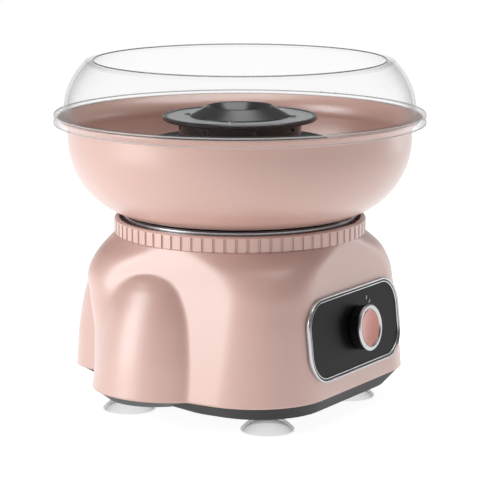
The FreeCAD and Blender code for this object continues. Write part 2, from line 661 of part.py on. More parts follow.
tick = new_sketch(guard, "XY_Plane", (0, 0, flange_z - 0.5))
tick_side, tick_half = 6.5, 1.0
for turn in (-tick_side, tick_side):
    soft_box(tick, 134.4, 138.2, turn - tick_half, turn + tick_half, 0.6)
polar(guard, [pad(guard, tick, 1.9)], 3)

# ---- control panel parts, drawn flat and leaned back with the front face ----
def place_on_face(body, x=0.0, rise=0.0):
    """Stands a part drawn flat up against the leaning front face."""
    lean = math.radians(SIZES["panel_lean"])
    y = rise * math.sin(lean) - SIZES["panel_reach"]
    z = SIZES["panel_z"] + rise * math.cos(lean)
    turn = FreeCAD.Rotation(FreeCAD.Vector(1, 0, 0), 90.0 - SIZES["panel_lean"])
    body.Placement = FreeCAD.Placement(FreeCAD.Vector(x, y, z), turn)
    body.setExpression("Placement.Base.x", "%s" % repr(float(x)))
    body.setExpression("Placement.Base.y", "%r * sin(Params.panel_lean) - Params.panel_reach" % float(rise))
    body.setExpression("Placement.Base.z", "Params.panel_z + %r * cos(Params.panel_lean)" % float(rise))
    return body


sink, rise = size("panel_sink"), size("panel_rise")
bezel_width, plate_rise = size("bezel_width"), size("plate_rise")
knob_x, knob_up = size("knob_x"), size("knob_up")
bezel = new_body("panel_bezel")
block = pad(bezel, face_box(new_sketch(bezel, "XY_Plane", (0, 0, -sink)), 0), sink + rise)
lip = bezel.newObject("PartDesign::Fillet", "soft_edge")
front_edges = [
    "Edge%d" % place for place, edge in enumerate(block.Shape.Edges, start=1)
    if abs(edge.CenterOfMass.z - SIZES["panel_rise"]) < 1e-6 and abs(edge.BoundBox.ZLength) < 1e-6
]
lip.Base = (block, front_edges)
lip.Radius = 1.6
doc.recompute()
pocket(bezel, face_box(new_sketch(bezel, "XY_Plane", (0, 0, 10)), bezel_width), 20.0)
plate = new_body("panel_plate")
pad(plate, face_box(new_sketch(plate, "XY_Plane", (0, 0, -sink)), bezel_width), sink + plate_rise)
pocket(plate, ring_line(new_sketch(plate, "XY_Plane", (0, 0, 10)), knob_x, knob_up, switch_hole_r), 20.0)
plate_pilots = new_sketch(plate, "XY_Plane", (0, 0, -sink))
for x, y in face_spots:
    ring_line(plate_pilots, x, y, pilot_r)
pilot_depth = 2.6
pocket(plate, plate_pilots, pilot_depth, reverse=True)
back_z = -SIZES["panel_sink"] - backing
fixings = screws("panel_screws", face_spots, back_z, 2.8, 1.8, pilot_r, backing + pilot_depth, up=False)
for part in (bezel, plate, fixings):
    place_on_face(part)


def face_round(label, path):
    body = round_part(label, path)
    return place_on_face(body, SIZES["knob_x"], SIZES["knob_up"])


switch = new_body("switch_body")
switch_depth = 20.0
case = soft_box(new_sketch(switch, "XY_Plane", (0, 0, back_z)), -13.0, 13.0, -14.0, 14.0, 2.0)
pad(switch, case, switch_depth, reverse=True)
pad(switch, ring_line(new_sketch(switch, "XY_Plane", (0, 0, back_z - 0.5)), 0, 0, 5.0), 7.4)
pocket(switch, ring_line(new_sketch(switch, "XY_Plane", (0, 0, 12)), 0, 0, 3.05), 12.0 - back_z + 15.0)
place_on_face(switch, SIZES["knob_x"], SIZES["knob_up"])
pins_body = new_body("switch_terminals")
blades = new_sketch(pins_body, "XY_Plane", (0, 0, back_z - switch_depth))
for x in (-8.0, 0.0, 8.0):
    soft_box(blades, x - 2.4, x + 2.4, -9.4, -8.6, 0.35)
pad(pins_body, blades, 9.0, reverse=True)
place_on_face(pins_body, SIZES["knob_x"], SIZES["knob_up"])
nut = new_body("switch_nut")
nut_z = SIZES["plate_rise"]
nut_sketch = new_sketch(nut, "XY_Plane", (0, 0, nut_z))
outline(nut_sketch, circle_spots(6, 7.4))
ring_line(nut_sketch, 0, 0, 5.0)
pad(nut, nut_sketch, 1.3)
place_on_face(nut, SIZES["knob_x"], SIZES["knob_up"])
spindle = face_round("switch_spindle", [(0, back_z - 14.0), (3.0, back_z - 14.0), (3.0, 8.0), (0, 8.0)])
knob_z, knob_top = 1.7, 1.7 + SIZES["knob_height"]
knob_r = size("knob_r")
cap_r = size("knob_cap_r")
face_round("knob_body", [
    (3.0, 3.4), (9.0, 3.4), (9.0, knob_z), (knob_r - 1.2, knob_z), (knob_r - 0.8, knob_z + 0.5),
    (knob_r - 0.2, knob_top - 2.0), (cap_r, knob_top - 2.0), (cap_r, knob_top - 3.0), (0, knob_top - 3.0),
    (0, 8.0), (3.0, 8.0),
])
face_round("knob_ring", [
    (cap_r, knob_top - 2.0), (knob_r, knob_top - 2.0), (knob_r, knob_top - 0.9), (knob_r - 0.9, knob_top),
    (cap_r + 0.9, knob_top), (cap_r, knob_top - 0.9),
])
dish_span, dish_depth = SIZES["knob_cap_r"] - 0.8, 1.3
dish_ball = (dish_span ** 2 + dish_depth ** 2) / (2 * dish_depth)
dish_half = dish_ball - math.sqrt(dish_ball ** 2 - (dish_span / 2) ** 2)
cap_low = knob_top - 0.6 - dish_depth
face_round("knob_cap", [
    (0, knob_top - 3.0), (cap_r, knob_top - 3.0), (cap_r, knob_top - 1.0), (cap_r - 0.8, knob_top - 0.6),
    ((dish_span / 2, cap_low + dish_half), (0, cap_low)),
])

# ---- motor ----
motor_r, gauge = size("motor_r"), size("motor_wall")
low, top = size("motor_z"), size("motor_top")
bore = 2.53
can = round_part("motor_can", [
    (5.0, top), (motor_r - 1.5, top), (motor_r, top - 1.5), (motor_r, low), (motor_r - gauge, low),
    (motor_r - gauge, top - gauge), (6.4, top - gauge), (6.4, top - 5.0), (5.0, top - 5.0),
])
motor_spots = circle_spots(2, 12.0)
can_holes = new_sketch(can, "XY_Plane", (0, 0, top + 1))
for x, y in motor_spots:
    ring_line(can_holes, x, y, pilot_r)
pocket(can, can_holes, 4.0)
end_cap = round_part("motor_end_cap", [
    (5.0, size("motor_cap_z")), (motor_r - 1.0, size("motor_cap_z")), (motor_r, size("motor_cap_z") + 1.0),
    (motor_r, low), (5.0, low),
])
holders = new_sketch(end_cap, "XY_Plane", (0, 0, low - 0.3))
for side in (-1, 1):
    left, right = sorted((side * 7.0, side * 14.5))
    soft_box(holders, left, right, -4.0, 4.0, 0.6)
pad(end_cap, holders, 10.3)
slot_sketch = new_sketch(end_cap, "YZ_Plane", (0, 0, 0))
soft_box(slot_sketch, -2.0, 2.0, 101.5, 105.5, 0.3)
pocket(end_cap, slot_sketch, 25.0, both=True)
brush_body = new_body("brushes")
for side in (-1, 1):
    sketch = new_sketch(brush_body, "YZ_Plane", (0, 0, side * 5.04))
    soft_box(sketch, -2.0, 2.0, 101.5, 105.5, 0.3)
    pad(brush_body, sketch, 7.0, reverse=side < 0)
magnet_body = new_body("motor_magnets")
arc_ring = new_sketch(magnet_body, "XY_Plane", (0, 0, 109.0))
for lead in (0.0, math.pi):
    points = []
    half = math.radians(58.0)
    for radius, first, last in ((SIZES["motor_r"] - SIZES["motor_wall"], lead - half, lead + half),
                                (13.0, lead + half, lead - half)):
        middle = (first + last) / 2
        corner = (radius * math.cos(first), radius * math.sin(first))
        crown = (radius * math.cos(middle), radius * math.sin(middle))
        tip = (radius * math.cos(last), radius * math.sin(last))
        points += [corner, (crown, tip)]
    outline(arc_ring, points)
pad(magnet_body, arc_ring, 36.0)
bearing_body = new_body("motor_bearings")
for foot, height in ((size("motor_cap_z"), 5.0), (top - 5.0, 5.0)):
    sketch = new_sketch(bearing_body, "XY_Plane", (0, 0, foot))
    ring_line(sketch, 0, 0, 5.0)
    ring_line(sketch, 0, 0, bore)
    pad(bearing_body, sketch, height)
shaft = round_part("motor_shaft", [
    (0, size("motor_cap_z") + 0.5), (size("shaft_r"), size("motor_cap_z") + 0.5),
    (size("shaft_r"), size("shaft_top")), (0, size("shaft_top")),
])
core = round_part("armature_core", [
    (size("shaft_r"), size("core_z")), (12.6, size("core_z")), (12.6, size("core_top")),
    (size("shaft_r"), size("core_top")),
])
slots = 5
core_slot = new_sketch(core, "XY_Plane", (0, 0, size("core_top") + 1))
soft_box(core_slot, 6.0, 14.0, -1.8, 1.8, 0.3)
polar(core, [pocket(core, core_slot, 40.0)], slots)
winding = round_part("armature_winding", [
    (size("shaft_r") + 1.0, size("core_top")), (11.0, size("core_top")), (11.0, size("core_top") + 3.0),
    (9.0, size("core_top") + 5.0), (size("shaft_r") + 1.0, size("core_top") + 5.0),
])
bar = new_sketch(winding, "XY_Plane", (0, 0, size("core_z") - 1.6))
soft_box(bar, 6.0, 10.8, -1.8, 1.8, 0.3)
polar(winding, [pad(winding, bar, size("core_top") + 2.0 - size("core_z"))], slots)
round_part("commutator", [(size("shaft_r"), 99.5), (5.0, 99.5), (5.0, 107.5), (size("shaft_r"), 107.5)])
screws("motor_screws", motor_spots, top + size("bracket_gauge"), 2.8, 1.6, pilot_r, 4.0)

# ---- bracket, rubber dampers and fan ----
gauge = size("bracket_gauge")
damper_z = deck_top + 3.0
bracket_z, bracket_r, bracket_out = size("bracket_z"), size("bracket_r"), size("bracket_foot_r") + 2
slope_r, shaft_gap_r = 46.0, 8.0
bracket = round_part("motor_bracket", [
    (shaft_gap_r, bracket_z), (bracket_r, bracket_z), (slope_r, damper_z), (bracket_out, damper_z),
    (bracket_out, damper_z + gauge), (slope_r + 1.2, damper_z + gauge),
    (bracket_r + 1.2, bracket_z + gauge), (shaft_gap_r, bracket_z + gauge),
])
bracket_holes = new_sketch(bracket, "XY_Plane", (0, 0, bracket_z + 10))
for x, y in motor_spots:
    ring_line(bracket_holes, x, y, pilot_r)
for x, y in foot_spots:
    ring_line(bracket_holes, x, y, stud_r)
pocket(bracket, bracket_holes, 60.0)
window = new_sketch(bracket, "XY_Plane", (0, 0, bracket_z + 10))
soft_box(window, 33.5, 43.5, -12.0, 12.0, 2.5)
polar(bracket, [pocket(bracket, window, 60.0)], 6)
damper_body = new_body("bracket_dampers")
damper_sketch = new_sketch(damper_body, "XY_Plane", (0, 0, deck_top))
for x, y in foot_spots:
    ring_line(damper_sketch, x, y, 4.6)
    ring_line(damper_sketch, x, y, stud_r)
pad(damper_body, damper_sketch, 3.0)
screws("bracket_screws", foot_spots, damper_z + gauge, 3.6, 2.0, stud_r, 8.0)
fan = round_part("cooling_fan", [
    (size("shaft_r"), size("fan_z")), (7.0, size("fan_z")), (7.0, size("fan_z") + 5.0),
    (size("shaft_r"), size("fan_z") + 5.0),
])
blade = new_sketch(fan, "XY_Plane", (0, 0, size("fan_z")))
soft_box(blade, 6.4, size("fan_r"), -0.7, 0.7, 0.5)
polar(fan, [pad(fan, blade, size("fan_height"))], 9)

# ---- drive hub and cross pin ----
drive_r, socket_r = size("drive_r"), size("drive_socket_r")
hub = round_part("drive_hub", [
    (size("shaft_r"), size("drive_socket_z")), (socket_r, size("drive_socket_z")),
    (socket_r, size("shaft_top") + 3.0), (socket_r - 1.4, size("shaft_top") + 6.0),
    (socket_r - 1.4, size("drive_shoulder_z") - 2.0), (size("drive_shoulder_r"), size("drive_shoulder_z")),
    (size("drive_shoulder_r"), size("hub_bottom") - 0.1), (drive_r, size("hub_bottom") - 0.1),
    (drive_r, size("drive_tip") - 1.0), (drive_r - 1.0, size("drive_tip")), (0, size("drive_tip")),
    (0, size("shaft_top")), (size("shaft_r"), size("shaft_top")),
])
cross_hole = ring_line(new_sketch(hub, "YZ_Plane", (0, 0, 0)), 0, size("pin_z"), size("pin_r"))
pocket(hub, cross_hole, 20.0, both=True)
cross = new_body("hub_pin")
cross_line = ring_line(new_sketch(cross, "YZ_Plane", (0, 0, 0)), 0, size("pin_z"), size("pin_r"))
pad(cross, cross_line, size("pin_half") * 2, both=True)

# ---- heater ----
hub_hole_r, shield_gauge = 9.5, 1.0
shield_out, shield_top = inner - 0.3, shield_z + shield_gauge
shield = round_part("heat_shield", [
    (hub_hole_r, shield_z), (shield_out, shield_z), (shield_out, shield_top), (hub_hole_r, shield_top),
])
dish_z, dish_r = size("dish_z"), size("dish_r")
thin = size("dish_gauge")
brim_z = dish_z + 11.5
dish = round_part("heater_dish", [
    (hub_hole_r, dish_z), (48.0, dish_z), (dish_r, dish_z + 9.0), (dish_r, brim_z), (dish_r - thin, brim_z),
    (dish_r - thin, dish_z + 9.4), (47.6, dish_z + thin), (hub_hole_r, dish_z + thin),
])
standoff_spots = circle_spots(3, 30.0, 60.0)
leg_spots = [(9.0, -38.9), (-9.0, -38.9)]
shield_holes = new_sketch(shield, "XY_Plane", (0, 0, shield_z + 5))
dish_holes = new_sketch(dish, "XY_Plane", (0, 0, dish_z + 5))
for x, y in standoff_spots:
    ring_line(shield_holes, x, y, pilot_r)
    ring_line(dish_holes, x, y, pilot_r)
for x, y in leg_spots:
    ring_line(shield_holes, x, y, 4.0)
    ring_line(dish_holes, x, y, 2.6)
pocket(shield, shield_holes, 20.0)
pocket(dish, dish_holes, 20.0)
ceramics = new_body("heater_standoffs")
ceramic_sketch = new_sketch(ceramics, "XY_Plane", (0, 0, shield_top))
for x, y in standoff_spots:
    ring_line(ceramic_sketch, x, y, 4.0)
    ring_line(ceramic_sketch, x, y, pilot_r)
pad(ceramics, ceramic_sketch, dish_z - shield_top)
screws("heater_screws", standoff_spots, dish_z + thin, 3.0, 1.8, pilot_r, 14.0)
coil = new_body("heater_element")
rod_section = new_sketch(coil, "XZ_Plane", (0, 0, 0))
turned(coil, ring_line(rod_section, size("coil_r"), size("coil_z"), size("coil_wire_r")))
legs = new_sketch(coil, "XY_Plane", (0, 0, size("coil_z")))
for x, y in leg_spots:
    ring_line(legs, x, y, 2.2)
pad(coil, legs, 27.0, reverse=True)
cutout = new_body("thermal_cutout")
pad(cutout, ring_line(new_sketch(cutout, "XY_Plane", (0, 0, dish_z)), -24.0, 26.0, 7.0), 6.0, reverse=True)
cut_blades = new_sketch(cutout, "XY_Plane", (0, 0, dish_z - 5.6))
for y in (22.0, 30.0):
    soft_box(cut_blades, -26.0, -22.0, y - 0.4, y + 0.4, 0.35)
pad(cutout, cut_blades, 3.4, reverse=True)

# ---- spinning head ----
cup_floor, sheet_wall = size("head_floor_z"), size("head_wall")
disc_low = size("head_disc_z") + 0.5
disc_top = size("head_top") - 0.7
hub_r, hub_top, bore_r = size("hub_r"), size("hub_top"), size("hub_bore_r")
flange_r, flange_low, bore_end = 12.0, cup_floor - 1.6, size("drive_tip") + 0.3
head_hub = round_part("head_hub", [
    (bore_r, size("hub_bottom")), (hub_r, size("hub_bottom")), (hub_r, flange_low), (flange_r, flange_low),
    (flange_r, cup_floor), (hub_r, cup_floor), (hub_r, hub_top), (hub_r - 1.0, hub_top + 1.0),
    (0, hub_top + 1.0), (0, bore_end), (bore_r, bore_end),
])
key_slot = new_sketch(head_hub, "YZ_Plane", (0, 0, 0))
slot_half = SIZES["pin_r"] + 0.15
slot_low, slot_top = 200.0, SIZES["pin_z"] + slot_half
outline(key_slot, [
    (-slot_half, slot_low), (slot_half, slot_low), (slot_half, slot_top), (-slot_half, slot_top),
])
pocket(head_hub, key_slot, 30.0, both=True)
cup_r = size("head_cup_r")
mesh_r = cup_r - sheet_wall
head_cup = round_part("head_cup", [
    (hub_r, cup_floor), (cup_r - 1.4, cup_floor), (cup_r, cup_floor + 1.4), (cup_r, disc_low),
    (mesh_r, disc_low), (mesh_r, cup_floor + 2.0), (mesh_r - 0.6, cup_floor + sheet_wall),
    (hub_r, cup_floor + sheet_wall),
])
head_spots = circle_spots(4, 40.6, 22.5)
cup_window = new_sketch(head_cup, "YZ_Plane", (0, 0, 35.0))
soft_box(cup_window, -2.4, 2.4, 213.8, 216.6, 1.2)
polar(head_cup, [pocket(head_cup, cup_window, 20.0, reverse=True)], 8)
cup_posts = new_sketch(head_cup, "XY_Plane", (0, 0, cup_floor + 1.0))
for x, y in head_spots:
    ring_line(cup_posts, x, y, 3.0)
pad(head_cup, cup_posts, disc_low - cup_floor - 1.0)
post_pilots = new_sketch(head_cup, "XY_Plane", (0, 0, disc_low))
for x, y in head_spots:
    ring_line(post_pilots, x, y, 1.4)
pocket(head_cup, post_pilots, 6.0)
mesh_in, mesh_low = mesh_r - 0.8, cup_floor + 2.2
mesh = round_part("head_mesh", [
    (mesh_in, mesh_low), (mesh_r, mesh_low), (mesh_r, disc_low), (mesh_in, disc_low),
])
slit = new_sketch(mesh, "YZ_Plane", (0, 0, 35.0))
soft_box(slit, -0.6, 0.6, 211.8, 217.0, 0.5)
polar(mesh, [pocket(mesh, slit, 20.0, reverse=True)], 60)
disc_in, edge_in = 36.5, size("head_disc_in_r")
head_disc = round_part("head_disc", [
    (disc_in, disc_low), (edge_in, disc_low), (edge_in, disc_top), (disc_in, disc_top),
])
disc_holes = new_sketch(head_disc, "XY_Plane", (0, 0, disc_top + 1))
for x, y in head_spots:
    ring_line(disc_holes, x, y, 1.4)
pocket(head_disc, disc_holes, 6.0)
edge_r, edge_low, edge_top, edge_soft = size("head_disc_r"), size("head_disc_z"), size("head_top"), 0.6
round_part("head_edge_ring", [
    (edge_in, edge_low), (edge_r - edge_soft, edge_low), (edge_r, edge_low + edge_soft),
    (edge_r, edge_top - edge_soft), (edge_r - edge_soft, edge_top), (edge_in, edge_top),
])
throat_r, throat_z = size("head_throat_r"), size("head_throat_z")
rim_r, rim_z = size("head_rim_r"), size("head_rim_z")
dome_r, spigot_in = size("head_dome_r"), disc_in - 1.6
slope_out, slope_in = (32.2, 226.6), (31.2, 225.2)
round_part("head_dome", [
    (spigot_in, disc_low), (disc_in, disc_low), (disc_in, disc_top),
    (dome_r, disc_top), (dome_r, disc_top + 0.9),
    (slope_out, (rim_r + 1.2, rim_z - 0.5)), (rim_r, rim_z), (rim_r - 1.2, rim_z - 0.5),
    (throat_r + 2.2, throat_z + 2.6), (throat_r, throat_z), (throat_r + 2.2, throat_z),
    (throat_r + 4.4, throat_z + 2.0), (rim_r - 0.4, rim_z - 2.6), (slope_in, (spigot_in, disc_top)),
])
screws("head_screws", head_spots, disc_top, 2.4, 1.2, 1.4, 7.0)

# ---- cord gland, terminal block, supply board and leads ----
gland = round_part("cord_gland", [
    (3.4, -9.0), (5.0, -9.0), (5.9, -4.0), (5.9, 0), (9.2, 0), (9.2, 1.6), (8.2, 2.6), (3.4, 2.6),
])
backward = FreeCAD.Rotation(FreeCAD.Vector(1, 0, 0), -90)
gland.Placement = FreeCAD.Placement(FreeCAD.Vector(0, gland_seat_y, gland_z), backward)
block = new_body("terminal_block")
block_y0, block_y1, block_height = 76.0, 90.0, 12.0
block_line = soft_box(new_sketch(block, "XY_Plane", (0, 0, floor_top)), -17.0, 17.0, block_y0, block_y1, 1.0)
pad(block, block_line, block_height)
wells = new_sketch(block, "XY_Plane", (0, 0, floor_top + block_height))
for x in (-11.0, 0.0, 11.0):
    ring_line(wells, x, (block_y0 + block_y1) / 2, 2.4)
pocket(block, wells, 5.0)
board = new_body("supply_board")
board_sketch = new_sketch(board, "XY_Plane", (0, 0, board_z + 0.4))
soft_box(board_sketch, -board_x, board_x, board_y0, board_y1, 1.5)
for x, y in peg_spots:
    ring_line(board_sketch, x, y, 1.4)
pad(board, board_sketch, 1.6)
parts_z = board_z + 2.0
parts_body = new_body("board_parts")
can_line, chip_line, coil_line = [new_sketch(parts_body, "XY_Plane", (0, 0, parts_z)) for _ in range(3)]
pad(parts_body, ring_line(can_line, -18.0, 30.0, 8.0), 22.0)
pad(parts_body, soft_box(chip_line, -2.0, 14.0, 24.0, 36.0, 0.8), 7.0)
pad(parts_body, soft_box(coil_line, 19.0, 25.0, 17.0, 43.0, 2.8), 6.0)


def lead(label, runs, radius):
    """Insulated leads, each one smooth run through its own points."""
    tubes = []
    for points in runs:
        curve = Part.BSplineCurve()
        curve.interpolate([FreeCAD.Vector(*point) for point in points])
        start = FreeCAD.Vector(*points[0])
        ring = Part.Wire(Part.makeCircle(radius, start, curve.tangent(curve.FirstParameter)[0]))
        tubes.append(Part.Wire(curve.toShape()).makePipeShell([ring], True, False))
    feature = doc.addObject("Part::Feature", label)
    feature.Label = label
    feature.Shape = Part.makeCompound(tubes)
    feature.Placement = FreeCAD.Placement()
    return feature


gland_runs = [
    [(x * 0.2, 116.0, gland_z), (x * 0.5, 104.0, gland_z), (x * 0.95, 88.0, 39.0), (x, 83.0, 26.5)]
    for x in (-11.0, 11.0)
]
heater_runs = [
    [(x, -38.9, 169.6), (x * 1.1, -40.0, 163.0), (x * 2.0, -38.0, 150.0), (x * 2.6, -30.0, 120.0),
     (x * 2.9, -8.0, 70.0), (x * 2.8, 10.0, 28.4)]
    for x in (-9.0, 9.0)
]
motor_runs = [
    [(x, -4.0, 89.0), (x * 1.6, 2.0, 76.0), (x * 1.2, 20.0, 50.0), (x, 24.0, 34.4)]
    for x in (3.0, 9.0)
]
switch_runs = [
    [(x, -66.0, 57.0), (x, -54.0, 55.0), (x, -20.0, 38.0), (x, 12.0, 28.4)]
    for x in (-1.0, 15.0)
]
lead("mains_leads", gland_runs + heater_runs, 1.1)
lead("control_leads", motor_runs + switch_runs, 1.0)

# ---- check and write every part ----
doc.recompute()
nodes = [item for item in doc.Objects if item.TypeId in ("PartDesign::Body", "Part::Feature")]
for item in doc.Objects:
    if "Invalid" in item.State or "Error" in item.State:
        raise RuntimeError("%s is %s" % (item.Label, item.State))
for item in nodes:
    if item.Shape.isNull() or not item.Shape.isValid():
        raise RuntimeError("%s has no sound shape" % item.Label)
    item.Shape.exportStep("parts/%s.step" % item.Label)
print(len(nodes), "parts written")
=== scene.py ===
import json
import math

import bpy
import numpy as np
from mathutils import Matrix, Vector


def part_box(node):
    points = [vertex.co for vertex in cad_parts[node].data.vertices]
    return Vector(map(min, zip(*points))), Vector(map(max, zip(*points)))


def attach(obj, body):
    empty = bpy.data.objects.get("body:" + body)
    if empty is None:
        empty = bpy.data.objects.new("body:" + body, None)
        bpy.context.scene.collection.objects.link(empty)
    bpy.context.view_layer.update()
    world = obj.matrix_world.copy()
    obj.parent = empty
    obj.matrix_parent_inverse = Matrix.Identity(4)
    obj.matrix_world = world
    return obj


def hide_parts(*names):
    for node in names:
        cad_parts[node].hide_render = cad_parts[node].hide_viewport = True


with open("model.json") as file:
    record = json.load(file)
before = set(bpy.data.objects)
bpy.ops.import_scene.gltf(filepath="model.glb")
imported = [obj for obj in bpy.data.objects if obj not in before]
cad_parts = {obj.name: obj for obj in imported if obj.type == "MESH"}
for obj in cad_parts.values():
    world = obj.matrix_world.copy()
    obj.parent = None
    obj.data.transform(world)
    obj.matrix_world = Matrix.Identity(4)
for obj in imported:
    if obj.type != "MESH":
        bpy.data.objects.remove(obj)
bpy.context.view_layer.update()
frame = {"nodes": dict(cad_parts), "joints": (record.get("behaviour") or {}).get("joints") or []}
scene = bpy.context.scene
MM = 0.001
CLOUD_SCALE = 18.0  # size of the slow drift in colour and gloss


# ---------------------------------------------------------------- materials
def linear(red, green, blue):
    """Screen colour 0 to 255 as a linear colour."""
    def one(level):
        level /= 255.0
        return level / 12.92 if level <= 0.04045 else ((level + 0.055) / 1.055) ** 2.4
    return (one(red), one(green), one(blue), 1.0)


def shaded(colour, share):
    return tuple(level * share for level in colour[:3]) + (1.0,)


class Nodes:
    """A new node material with a few short ways to add and join nodes."""

    def __init__(self, name):
        self.mat = bpy.data.materials.new(name)
        self.mat.use_nodes = True
        self.tree = self.mat.node_tree
        self.tree.nodes.clear()
        self.out = self.add("ShaderNodeOutputMaterial")
        self.place = self.add("ShaderNodeTexCoord").outputs["Object"]

    def add(self, kind, **values):
        node = self.tree.nodes.new(kind)
        for key, value in values.items():
            setattr(node, key, value)
        return node

    def join(self, source, target):
        self.tree.links.new(source, target)

    def noise(self, scale, detail=3.0):
        node = self.add("ShaderNodeTexNoise")
        node.inputs["Scale"].default_value = scale
        node.inputs["Detail"].default_value = detail
        self.join(self.place, node.inputs["Vector"])
        return node.outputs["Fac"]

    def ranged(self, source, low, high):
        node = self.add("ShaderNodeMapRange")
        node.inputs["To Min"].default_value = low
        node.inputs["To Max"].default_value = high
        self.join(source, node.inputs["Value"])
        return node.outputs["Result"]

    def mixed(self, factor, first, second):
        node = self.add("ShaderNodeMix", data_type="RGBA")
        node.inputs[6].default_value = first
        node.inputs[7].default_value = second
        self.join(factor, node.inputs["Factor"])
        return node.outputs[2]

    def bump(self, height, strength):
        node = self.add("ShaderNodeBump")
        node.inputs["Strength"].default_value = strength
        node.inputs["Distance"].default_value = 0.0004
        self.join(height, node.inputs["Height"])
        return node.outputs["Normal"]

    def shader(self, metallic=0.0, coat=0.0, coat_rough=0.1, shine=0.5):
        node = self.add("ShaderNodeBsdfPrincipled")
        node.inputs["Specular IOR Level"].default_value = shine
        node.inputs["Metallic"].default_value = metallic
        node.inputs["Coat Weight"].default_value = coat
        node.inputs["Coat Roughness"].default_value = coat_rough
        return node


def surface(name, colour, rough, metallic=0.0, drift=0.05, grain=0.04, grain_scale=900.0,
            coat=0.0, coat_rough=0.1, spread=0.05, shine=0.5):
    """A moulded, painted or metal finish with slight colour drift, uneven gloss and a fine grain."""
    made = Nodes(name)
    shader = made.shader(metallic, coat, coat_rough, shine)
    cloud = made.noise(CLOUD_SCALE)
    made.join(made.mixed(cloud, colour, shaded(colour, 1.0 - drift * 2.0)), shader.inputs["Base Color"])
    made.join(made.ranged(cloud, max(0.02, rough - spread), rough + spread), shader.inputs["Roughness"])
    made.join(made.bump(made.noise(grain_scale, 2.0), grain), shader.inputs["Normal"])
    made.join(shader.outputs[0], made.out.inputs[0])
    return made.mat


def clear(name, colour, rough, face_share, edge_share, edge_power, through):
    """Clear moulded plastic: see-through face on, darker and glossier where it is seen edge on."""
    made = Nodes(name)
    shader = made.shader()
    cloud = made.noise(30.0)
    made.join(made.mixed(cloud, colour, shaded(colour, 0.9)), shader.inputs["Base Color"])
    made.join(made.ranged(cloud, rough, rough + 0.03), shader.inputs["Roughness"])
    made.join(made.bump(made.noise(120.0, 1.0), 0.02), shader.inputs["Normal"])
    glass = made.add("ShaderNodeBsdfTransparent")
    glass.inputs["Color"].default_value = through
    facing = made.add("ShaderNodeLayerWeight")
    facing.inputs["Blend"].default_value = 0.5
    power = made.add("ShaderNodeMath", operation="POWER")
    power.inputs[1].default_value = edge_power
    made.join(facing.outputs["Facing"], power.inputs[0])
    mix = made.add("ShaderNodeMixShader")
    made.join(made.ranged(power.outputs[0], face_share, edge_share), mix.inputs[0])
    made.join(glass.outputs[0], mix.inputs[1])
    made.join(shader.outputs[0], mix.inputs[2])
    made.join(mix.outputs[0], made.out.inputs[0])
    return made.mat


def metal(name, level, rough, **more):
    return surface(name, linear(level, level, level + 2), rough, metallic=1.0, **more)


mats = {
    "pink": surface("pink_satin", linear(198, 161, 151), 0.40, drift=0.015, grain=0.05, coat=0.9,
                    coat_rough=0.36, shine=0.8),
    "bowl": surface("pink_bowl_satin", linear(192, 154, 143), 0.36, drift=0.015, coat=0.9, coat_rough=0.32,
                    shine=0.8),
    "cap": surface("pink_cap_gloss", linear(190, 112, 96), 0.18, drift=0.02, grain=0.01, coat=0.6),
    "pan": surface("dark_pan", linear(28, 28, 28), 0.45, drift=0.1, grain=0.18, shine=0.15),
    "black": surface("black_gloss", linear(14, 14, 15), 0.14, drift=0.1, grain=0.01, coat=0.5),
    "plate": surface("black_plate", linear(8, 8, 8), 0.34, drift=0.08, grain=0.03, shine=0.12),
    "satin": surface("black_satin", linear(20, 19, 19), 0.33, drift=0.1, grain=0.08, shine=0.4),
    "chrome": metal("bright_trim", 200, 0.28, drift=0.02, grain=0.01),
    "groove": metal("trim_groove", 60, 0.4),
    "steel": metal("screw_steel", 168, 0.30, drift=0.08, grain=0.05),
    "zinc": metal("zinc_plate", 150, 0.38, drift=0.12, grain=0.06),
    "iron": metal("core_iron", 96, 0.5, drift=0.15, grain=0.1),
    "copper": surface("copper_wire", linear(178, 96, 56), 0.35, 1.0, drift=0.12, grain=0.25, grain_scale=600),
    "brass": surface("turned_brass", linear(190, 158, 92), 0.28, 1.0, drift=0.08, grain=0.05),
    "ceramic": surface("white_ceramic", linear(228, 224, 214), 0.55, grain=0.1),
    "magnet": surface("magnet_grey", linear(58, 58, 60), 0.6, drift=0.1, grain=0.2),
    "rubber": surface("black_rubber", linear(30, 30, 30), 0.7, drift=0.1, grain=0.2),
    "aluminium": metal("pressed_aluminium", 196, 0.32, grain=0.05),
    "disc": surface("head_grey", linear(170, 171, 172), 0.36, 0.3, drift=0.03, grain=0.05),
    "head": surface("head_graphite", linear(44, 44, 45), 0.26, 0.1, grain=0.04, coat=0.3, coat_rough=0.2),
    "mesh": metal("mesh_steel", 100, 0.4, drift=0.1, grain=0.1),
    "board": surface("board_green", linear(42, 92, 58), 0.35, drift=0.08, grain=0.05),
    "plain": surface("dark_moulding", linear(44, 44, 47), 0.5, drift=0.1, grain=0.12),
    "block": surface("pale_moulding", linear(214, 210, 200), 0.45, grain=0.08),
    "red": surface("red_lead", linear(150, 40, 32), 0.4, drift=0.08, grain=0.05),
    "grey": surface("dark_lead", linear(52, 52, 58), 0.4, drift=0.08, grain=0.05),
    "mark": surface("pale_mark", linear(205, 203, 198), 0.45, drift=0.02, grain=0.02),
    "guard": clear("clear_guard", linear(120, 122, 124), 0.05, 0.015, 0.85, 7.0, (0.99, 0.991, 0.991, 1.0)),
    "edge": clear("clear_edge", linear(78, 72, 70), 0.10, 0.35, 0.85, 1.0, (0.92, 0.92, 0.92, 1.0)),
    # Pale and mostly opaque even face on, so that the flange and skirt beads paint white highlight lines.
    "bead": clear("painted_highlight_bead", linear(196, 192, 190), 0.08, 0.55, 0.9, 1.0, (0.95, 0.95, 0.95, 1.0)),
    "cup": clear("clear_cup", linear(120, 124, 120), 0.10, 0.08, 0.9, 2.5, (0.94, 0.945, 0.94, 1.0)),
}
